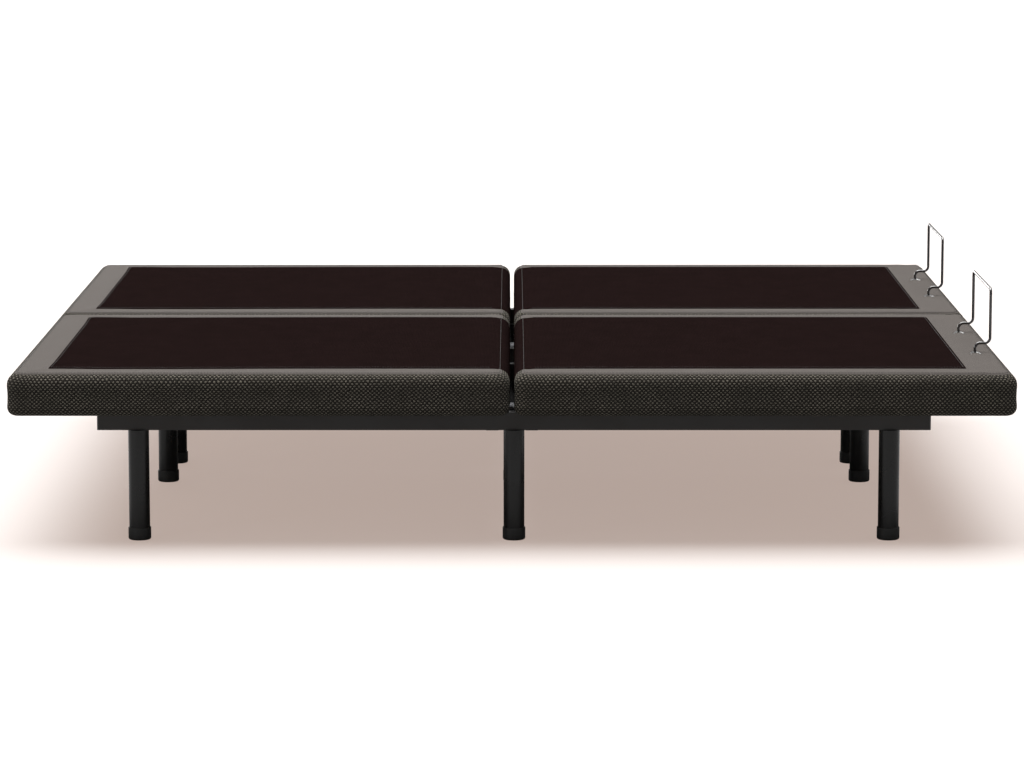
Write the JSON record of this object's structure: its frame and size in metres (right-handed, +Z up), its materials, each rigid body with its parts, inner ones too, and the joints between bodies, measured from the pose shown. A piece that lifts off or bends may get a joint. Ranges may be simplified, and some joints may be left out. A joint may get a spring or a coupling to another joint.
{
  "type": "adjustable bed base",
  "caption": "Split adjustable bed base: upholstered head and foot panels hinged on steel frames with legs, lift arms, electric actuators and mattress retainer bars.",
  "frame": {"origin": "on the floor under the middle of the deck, at the bottom centre of the bounding box", "axes": "+X along the bed towards the foot end, +Y across the bed towards the left module, +Z up"},
  "size_m": [2.032, 1.93, 0.494],
  "materials": {
    "upholstery": "heathered taupe tweed",
    "insert_fabric": "dark brown non-slip weave",
    "frame_steel": "satin black powder coat",
    "leg_steel": "gloss black",
    "foot_rubber": "black",
    "zinc_steel": "zinc plated",
    "bright_steel": "ground bright",
    "actuator_tube": "satin anodised",
    "black_plastic": "fine moulded texture",
    "nylon": "natural nylon",
    "plywood": "raw plywood",
    "bar_wire": "gloss dark brown-black",
    "bright_wire": "bright"
  },
  "bodies": {
    "root": {"legs": "leg_steel", "leg_feet": "foot_rubber", "leg_studs": "zinc_steel", "rail_caps": "black_plastic", "module_links": "frame_steel", "link_bolts": "zinc_steel", "hinge_pins": "zinc_steel", "shaft_bushings": "nylon", "rest_bumpers": "foot_rubber", "actuator_brackets": "frame_steel", "power_inlets": "black_plastic", "rails_right": "frame_steel", "cross_frame_right": "frame_steel", "control_box_right": "black_plastic", "head_actuator_right": "actuator_tube", "foot_actuator_right": "actuator_tube", "head_motor_right": "black_plastic", "foot_motor_right": "black_plastic", "rails_left": "frame_steel", "cross_frame_left": "frame_steel", "control_box_left": "black_plastic", "head_actuator_left": "actuator_tube", "foot_actuator_left": "actuator_tube", "head_motor_left": "black_plastic", "foot_motor_left": "black_plastic"},
    "head_panel_right": {"head_board_right": "plywood", "head_pad_right": "upholstery", "head_insert_right": "insert_fabric", "head_tracks_right": "frame_steel"},
    "head_lift_arm_right": {"head_lift_arm_right": "frame_steel"},
    "head_rollers_right": {"head_rollers_right": "nylon"},
    "head_rod_right": {"head_rod_right": "bright_steel"},
    "foot_panel_right": {"foot_board_right": "plywood", "foot_pad_right": "upholstery", "foot_insert_right": "insert_fabric", "foot_tracks_right": "frame_steel", "retainer_bar_right": "bar_wire", "retainer_sockets_right": "black_plastic", "retainer_clips_right": "bright_wire"},
    "foot_lift_arm_right": {"foot_lift_arm_right": "frame_steel"},
    "foot_rollers_right": {"foot_rollers_right": "nylon"},
    "foot_rod_right": {"foot_rod_right": "bright_steel"},
    "head_panel_left": {"head_board_left": "plywood", "head_pad_left": "upholstery", "head_insert_left": "insert_fabric", "head_tracks_left": "frame_steel"},
    "head_lift_arm_left": {"head_lift_arm_left": "frame_steel"},
    "head_rollers_left": {"head_rollers_left": "nylon"},
    "head_rod_left": {"head_rod_left": "bright_steel"},
    "foot_panel_left": {"foot_board_left": "plywood", "foot_pad_left": "upholstery", "foot_insert_left": "insert_fabric", "foot_tracks_left": "frame_steel", "retainer_bar_left": "bar_wire", "retainer_sockets_left": "black_plastic", "retainer_clips_left": "bright_wire"},
    "foot_lift_arm_left": {"foot_lift_arm_left": "frame_steel"},
    "foot_rollers_left": {"foot_rollers_left": "nylon"},
    "foot_rod_left": {"foot_rod_left": "bright_steel"}
  },
  "joints": [
    {"name": "head_lift_right", "type": "hinge", "parent": "root", "child": "head_panel_right", "pos_m": [-0.042, -0.483, 0.322], "axis": [0, 1, 0], "range_deg": [0, 60]},
    {"name": "head_arm_right", "type": "hinge", "parent": "root", "child": "head_lift_arm_right", "pos_m": [-0.19, -0.483, 0.245], "axis": [0, 1, 0], "range_deg": [0, 72.6]},
    {"name": "head_push_right", "type": "slide", "parent": "root", "child": "head_rod_right", "axis": [-1, 0, 0], "range_m": [0, 0.07113]},
    {"name": "head_roll_right", "type": "hinge", "parent": "head_lift_arm_right", "child": "head_rollers_right", "pos_m": [-0.60841, -0.483, 0.2815], "axis": [0, 1, 0], "continuous": true},
    {"name": "foot_lift_right", "type": "hinge", "parent": "root", "child": "foot_panel_right", "pos_m": [0.042, -0.483, 0.322], "axis": [0, -1, 0], "range_deg": [0, 40]},
    {"name": "foot_arm_right", "type": "hinge", "parent": "root", "child": "foot_lift_arm_right", "pos_m": [0.19, -0.483, 0.245], "axis": [0, -1, 0], "range_deg": [0, 53]},
    {"name": "foot_push_right", "type": "slide", "parent": "root", "child": "foot_rod_right", "axis": [1, 0, 0], "range_m": [0, 0.05358]},
    {"name": "foot_roll_right", "type": "hinge", "parent": "foot_lift_arm_right", "child": "foot_rollers_right", "pos_m": [0.52804, -0.483, 0.2815], "axis": [0, -1, 0], "continuous": true},
    {"name": "head_lift_left", "type": "hinge", "parent": "root", "child": "head_panel_left", "pos_m": [-0.042, 0.483, 0.322], "axis": [0, 1, 0], "range_deg": [0, 60]},
    {"name": "head_arm_left", "type": "hinge", "parent": "root", "child": "head_lift_arm_left", "pos_m": [-0.19, 0.483, 0.245], "axis": [0, 1, 0], "range_deg": [0, 72.6]},
    {"name": "head_push_left", "type": "slide", "parent": "root", "child": "head_rod_left", "axis": [-1, 0, 0], "range_m": [0, 0.07113]},
    {"name": "head_roll_left", "type": "hinge", "parent": "head_lift_arm_left", "child": "head_rollers_left", "pos_m": [-0.60841, 0.483, 0.2815], "axis": [0, 1, 0], "continuous": true},
    {"name": "foot_lift_left", "type": "hinge", "parent": "root", "child": "foot_panel_left", "pos_m": [0.042, 0.483, 0.322], "axis": [0, -1, 0], "range_deg": [0, 40]},
    {"name": "foot_arm_left", "type": "hinge", "parent": "root", "child": "foot_lift_arm_left", "pos_m": [0.19, 0.483, 0.245], "axis": [0, -1, 0], "range_deg": [0, 53]},
    {"name": "foot_push_left", "type": "slide", "parent": "root", "child": "foot_rod_left", "axis": [1, 0, 0], "range_m": [0, 0.05358]},
    {"name": "foot_roll_left", "type": "hinge", "parent": "foot_lift_arm_left", "child": "foot_rollers_left", "pos_m": [0.52804, 0.483, 0.2815], "axis": [0, -1, 0], "continuous": true}
  ],
  "couplings": [
    {"joint": "head_arm_right", "follows": "head_lift_right", "ratio": 1.2},
    {"joint": "head_push_right", "follows": "head_lift_right", "m_per_rad": 0.067355},
    {"joint": "foot_arm_right", "follows": "foot_lift_right", "ratio": 1.31},
    {"joint": "foot_push_right", "follows": "foot_lift_right", "m_per_rad": 0.075889},
    {"joint": "head_arm_left", "follows": "head_lift_left", "ratio": 1.2},
    {"joint": "head_push_left", "follows": "head_lift_left", "m_per_rad": 0.067355},
    {"joint": "foot_arm_left", "follows": "foot_lift_left", "ratio": 1.31},
    {"joint": "foot_push_left", "follows": "foot_lift_left", "m_per_rad": 0.075889}
  ]
}
